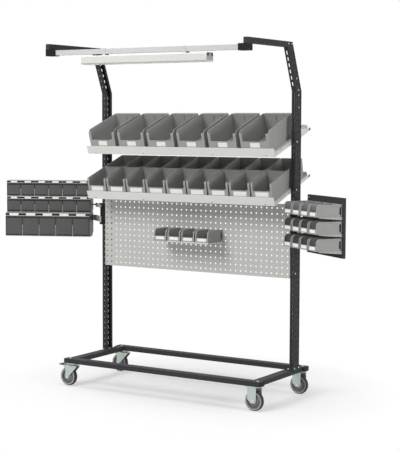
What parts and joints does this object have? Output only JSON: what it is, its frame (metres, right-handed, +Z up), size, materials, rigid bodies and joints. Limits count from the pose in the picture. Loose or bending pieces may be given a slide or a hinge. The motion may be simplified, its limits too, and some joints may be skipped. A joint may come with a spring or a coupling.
{
  "type": "mobile bin cart",
  "caption": "Wheeled workshop cart: slotted uprights carry sloping shelves of open bins, a perforated panel, a cross-rail lamp and swing-out carriers of tilt-out and hung bins.",
  "frame": {"origin": "on the floor, under the middle of the castor base", "axes": "+X to the right across the cart, +Y to the back, +Z up; the open fronts of the bins face -Y"},
  "size_m": [2.6669, 0.8805, 2.26],
  "materials": {
    "frame_paint": "satin anthracite powder coat",
    "cap_plastic": "matt black",
    "bolt_zinc": "bright zinc",
    "fork_zinc": "passivated zinc",
    "tyre_rubber": "matt dark grey",
    "wheel_plastic": "satin mid grey",
    "pedal_plastic": "matt dark grey",
    "rail_white": "white powder coat",
    "lamp_white": "white powder coat",
    "diffuser": "opal",
    "shelf_paint": "light grey powder coat",
    "panel_paint": "light grey powder coat",
    "bin_plastic": "matt mid grey",
    "housing_plastic": "satin dark grey",
    "tilt_plastic": "smoked dark grey",
    "bracket_black": "matt black powder coat",
    "arm_zinc": "dull zinc"
  },
  "bodies": {
    "frame": {"base_rails": "frame_paint", "rail_end_caps": "cap_plastic", "frame_bolts": "bolt_zinc", "swivel_plates": "fork_zinc", "fixed_forks": "fork_zinc", "fixed_axles": "bolt_zinc", "left_upright": "frame_paint", "right_upright": "frame_paint", "light_arms": "frame_paint", "rail_clamps": "cap_plastic", "cross_rail": "rail_white", "lamp_housing": "lamp_white", "lamp_diffuser": "diffuser", "lamp_hangers": "rail_white", "upper_shelf": "shelf_paint", "lower_shelf": "shelf_paint", "shelf_arms": "shelf_paint", "perforated_panel": "panel_paint", "panel_bin_tray": "panel_paint", "panel_bins": "bin_plastic", "upper_bins": "bin_plastic", "lower_bins": "bin_plastic", "swing_brackets": "bracket_black"},
    "castor_fl": {"fork_fl": "fork_zinc", "axle_fl": "bolt_zinc"},
    "castor_rl": {"fork_rl": "fork_zinc", "axle_rl": "bolt_zinc"},
    "wheel_fl": {"tyre_fl": "tyre_rubber", "wheel_centre_fl": "wheel_plastic"},
    "wheel_rl": {"tyre_rl": "tyre_rubber", "wheel_centre_rl": "wheel_plastic"},
    "wheel_fr": {"tyre_fr": "tyre_rubber", "wheel_centre_fr": "wheel_plastic"},
    "wheel_rr": {"tyre_rr": "tyre_rubber", "wheel_centre_rr": "wheel_plastic"},
    "pedal_fl": {"brake_pedal_fl": "pedal_plastic"},
    "pedal_rl": {"brake_pedal_rl": "pedal_plastic"},
    "left_carrier": {"left_swing_arm": "arm_zinc", "tilt_housings": "housing_plastic"},
    "right_carrier": {"right_swing_arm": "arm_zinc", "right_bin_panel": "frame_paint", "right_bin_trays": "panel_paint", "right_bins": "bin_plastic"},
    "cup_1_1": {"tilt_bin_1_1": "tilt_plastic"},
    "cup_1_2": {"tilt_bin_1_2": "tilt_plastic"},
    "cup_1_3": {"tilt_bin_1_3": "tilt_plastic"},
    "cup_1_4": {"tilt_bin_1_4": "tilt_plastic"},
    "cup_1_5": {"tilt_bin_1_5": "tilt_plastic"},
    "cup_1_6": {"tilt_bin_1_6": "tilt_plastic"},
    "cup_2_1": {"tilt_bin_2_1": "tilt_plastic"},
    "cup_2_2": {"tilt_bin_2_2": "tilt_plastic"},
    "cup_2_3": {"tilt_bin_2_3": "tilt_plastic"},
    "cup_2_4": {"tilt_bin_2_4": "tilt_plastic"},
    "cup_2_5": {"tilt_bin_2_5": "tilt_plastic"},
    "cup_2_6": {"tilt_bin_2_6": "tilt_plastic"},
    "cup_3_1": {"tilt_bin_3_1": "tilt_plastic"},
    "cup_3_2": {"tilt_bin_3_2": "tilt_plastic"},
    "cup_3_3": {"tilt_bin_3_3": "tilt_plastic"},
    "cup_3_4": {"tilt_bin_3_4": "tilt_plastic"},
    "cup_3_5": {"tilt_bin_3_5": "tilt_plastic"}
  },
  "joints": [
    {"name": "swivel_fl", "type": "hinge", "parent": "frame", "child": "castor_fl", "pos_m": [-0.697, -0.295, 0.138], "axis": [0, 0, 1], "continuous": true},
    {"name": "roll_fl", "type": "hinge", "parent": "castor_fl", "child": "wheel_fl", "pos_m": [-0.731, -0.295, 0.0625], "axis": [0, 1, 0], "continuous": true},
    {"name": "brake_fl", "type": "hinge", "parent": "castor_fl", "child": "pedal_fl", "pos_m": [-0.749, -0.295, 0.1282], "axis": [0, -1, 0], "range_deg": [0, 12]},
    {"name": "swivel_rl", "type": "hinge", "parent": "frame", "child": "castor_rl", "pos_m": [-0.697, 0.295, 0.138], "axis": [0, 0, 1], "continuous": true},
    {"name": "roll_rl", "type": "hinge", "parent": "castor_rl", "child": "wheel_rl", "pos_m": [-0.731, 0.295, 0.0625], "axis": [0, 1, 0], "continuous": true},
    {"name": "brake_rl", "type": "hinge", "parent": "castor_rl", "child": "pedal_rl", "pos_m": [-0.749, 0.295, 0.1282], "axis": [0, -1, 0], "range_deg": [0, 12]},
    {"name": "roll_fr", "type": "hinge", "parent": "frame", "child": "wheel_fr", "pos_m": [0.697, -0.295, 0.0625], "axis": [0, 1, 0], "continuous": true},
    {"name": "roll_rr", "type": "hinge", "parent": "frame", "child": "wheel_rr", "pos_m": [0.697, 0.295, 0.0625], "axis": [0, 1, 0], "continuous": true},
    {"name": "left_swing", "type": "hinge", "parent": "frame", "child": "left_carrier", "pos_m": [-0.772, 0.13, 1.128], "axis": [0, 0, 1], "range_deg": [-45, 50]},
    {"name": "right_swing", "type": "hinge", "parent": "frame", "child": "right_carrier", "pos_m": [0.772, 0.13, 1.128], "axis": [0, 0, -1], "range_deg": [-60, 4]},
    {"name": "tilt_1_1", "type": "hinge", "parent": "left_carrier", "child": "cup_1_1", "pos_m": [-1.37477, -0.08167, 1.25], "axis": [0.9063, 0.4226, 0], "range_deg": [0, 45]},
    {"name": "tilt_1_2", "type": "hinge", "parent": "left_carrier", "child": "cup_1_2", "pos_m": [-1.28459, -0.03962, 1.25], "axis": [0.9063, 0.4226, 0], "range_deg": [0, 45]},
    {"name": "tilt_1_3", "type": "hinge", "parent": "left_carrier", "child": "cup_1_3", "pos_m": [-1.19441, 0.00243, 1.25], "axis": [0.9063, 0.4226, 0], "range_deg": [0, 45]},
    {"name": "tilt_1_4", "type": "hinge", "parent": "left_carrier", "child": "cup_1_4", "pos_m": [-1.10423, 0.04448, 1.25], "axis": [0.9063, 0.4226, 0], "range_deg": [0, 45]},
    {"name": "tilt_1_5", "type": "hinge", "parent": "left_carrier", "child": "cup_1_5", "pos_m": [-1.01406, 0.08653, 1.25], "axis": [0.9063, 0.4226, 0], "range_deg": [0, 45]},
    {"name": "tilt_1_6", "type": "hinge", "parent": "left_carrier", "child": "cup_1_6", "pos_m": [-0.92388, 0.12858, 1.25], "axis": [0.9063, 0.4226, 0], "range_deg": [0, 45]},
    {"name": "tilt_2_1", "type": "hinge", "parent": "left_carrier", "child": "cup_2_1", "pos_m": [-1.37477, -0.08167, 1.138], "axis": [0.9063, 0.4226, 0], "range_deg": [0, 45]},
    {"name": "tilt_2_2", "type": "hinge", "parent": "left_carrier", "child": "cup_2_2", "pos_m": [-1.28459, -0.03962, 1.138], "axis": [0.9063, 0.4226, 0], "range_deg": [0, 45]},
    {"name": "tilt_2_3", "type": "hinge", "parent": "left_carrier", "child": "cup_2_3", "pos_m": [-1.19441, 0.00243, 1.138], "axis": [0.9063, 0.4226, 0], "range_deg": [0, 45]},
    {"name": "tilt_2_4", "type": "hinge", "parent": "left_carrier", "child": "cup_2_4", "pos_m": [-1.10423, 0.04448, 1.138], "axis": [0.9063, 0.4226, 0], "range_deg": [0, 45]},
    {"name": "tilt_2_5", "type": "hinge", "parent": "left_carrier", "child": "cup_2_5", "pos_m": [-1.01406, 0.08653, 1.138], "axis": [0.9063, 0.4226, 0], "range_deg": [0, 45]},
    {"name": "tilt_2_6", "type": "hinge", "parent": "left_carrier", "child": "cup_2_6", "pos_m": [-0.92388, 0.12858, 1.138], "axis": [0.9063, 0.4226, 0], "range_deg": [0, 45]},
    {"name": "tilt_3_1", "type": "hinge", "parent": "left_carrier", "child": "cup_3_1", "pos_m": [-1.348, -0.11553, 0.974], "axis": [0.9063, 0.4226, 0], "range_deg": [0, 45]},
    {"name": "tilt_3_2", "type": "hinge", "parent": "left_carrier", "child": "cup_3_2", "pos_m": [-1.23979, -0.06507, 0.974], "axis": [0.9063, 0.4226, 0], "range_deg": [0, 45]},
    {"name": "tilt_3_3", "type": "hinge", "parent": "left_carrier", "child": "cup_3_3", "pos_m": [-1.13157, -0.01461, 0.974], "axis": [0.9063, 0.4226, 0], "range_deg": [0, 45]},
    {"name": "tilt_3_4", "type": "hinge", "parent": "left_carrier", "child": "cup_3_4", "pos_m": [-1.02336, 0.03585, 0.974], "axis": [0.9063, 0.4226, 0], "range_deg": [0, 45]},
    {"name": "tilt_3_5", "type": "hinge", "parent": "left_carrier", "child": "cup_3_5", "pos_m": [-0.91515, 0.08631, 0.974], "axis": [0.9063, 0.4226, 0], "range_deg": [0, 45]}
  ]
}
